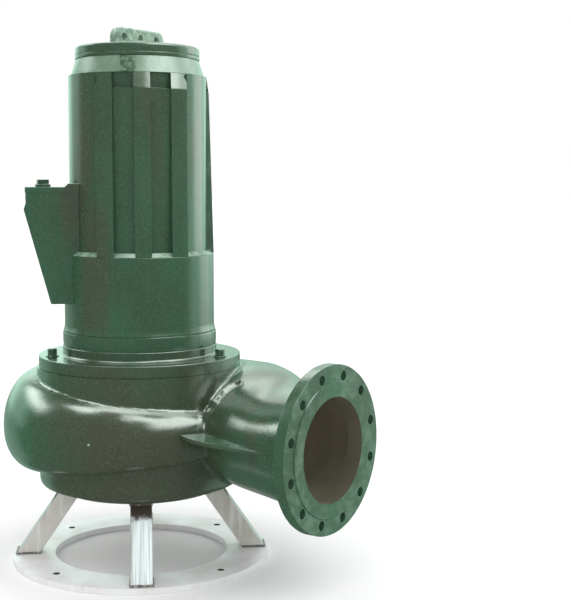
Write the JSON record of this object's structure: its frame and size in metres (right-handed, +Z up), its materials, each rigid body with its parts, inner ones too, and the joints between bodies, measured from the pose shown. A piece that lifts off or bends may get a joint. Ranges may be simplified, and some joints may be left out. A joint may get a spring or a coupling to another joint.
{
  "type": "sewage pump",
  "caption": "Vertical submersible sewage pump: ribbed motor over a spiral casing with a wide flanged outlet, cable box, lifting bail and a raked four-legged stand; its channel impeller turns.",
  "frame": {"origin": "on the floor, under the middle of the pump's own box; the shaft stands 114 mm back along -X and 33 mm along -Y from it", "axes": "+Z up along the shaft, +X out of the discharge flange"},
  "size_m": [0.9598, 0.7259, 1.3495],
  "materials": {
    "paint": "green enamel over cast iron, semi-gloss, thin on the edges",
    "zinc": "plain steel plate and bar, dull, streaked",
    "iron": "bare cast iron, brown, matt",
    "steel": "machined steel"
  },
  "bodies": {
    "pump": {"volute_casing": "paint", "casing_cover": "paint", "suction_cover": "paint", "motor_base": "paint", "lower_motor_housing": "paint", "stator_housing": "paint", "motor_end_cover": "paint", "top_cap": "paint", "lifting_bail": "paint", "cable_box": "paint", "cable_box_lid": "paint", "cable_gland": "paint", "gland_plug": "paint", "stand_foot_ring": "zinc", "stand_leg_1": "zinc", "stand_leg_2": "zinc", "stand_leg_3": "zinc", "stand_leg_4": "zinc", "stand_head_ring": "zinc", "wear_ring": "steel"},
    "rotor": {"impeller": "iron", "shaft": "steel", "impeller_washer": "steel", "impeller_screw": "steel"}
  },
  "joints": [
    {"name": "rotor_spin", "type": "hinge", "parent": "pump", "child": "rotor", "pos_m": [-0.114, -0.033, 0.45], "axis": [0, 0, 1], "continuous": true}
  ]
}
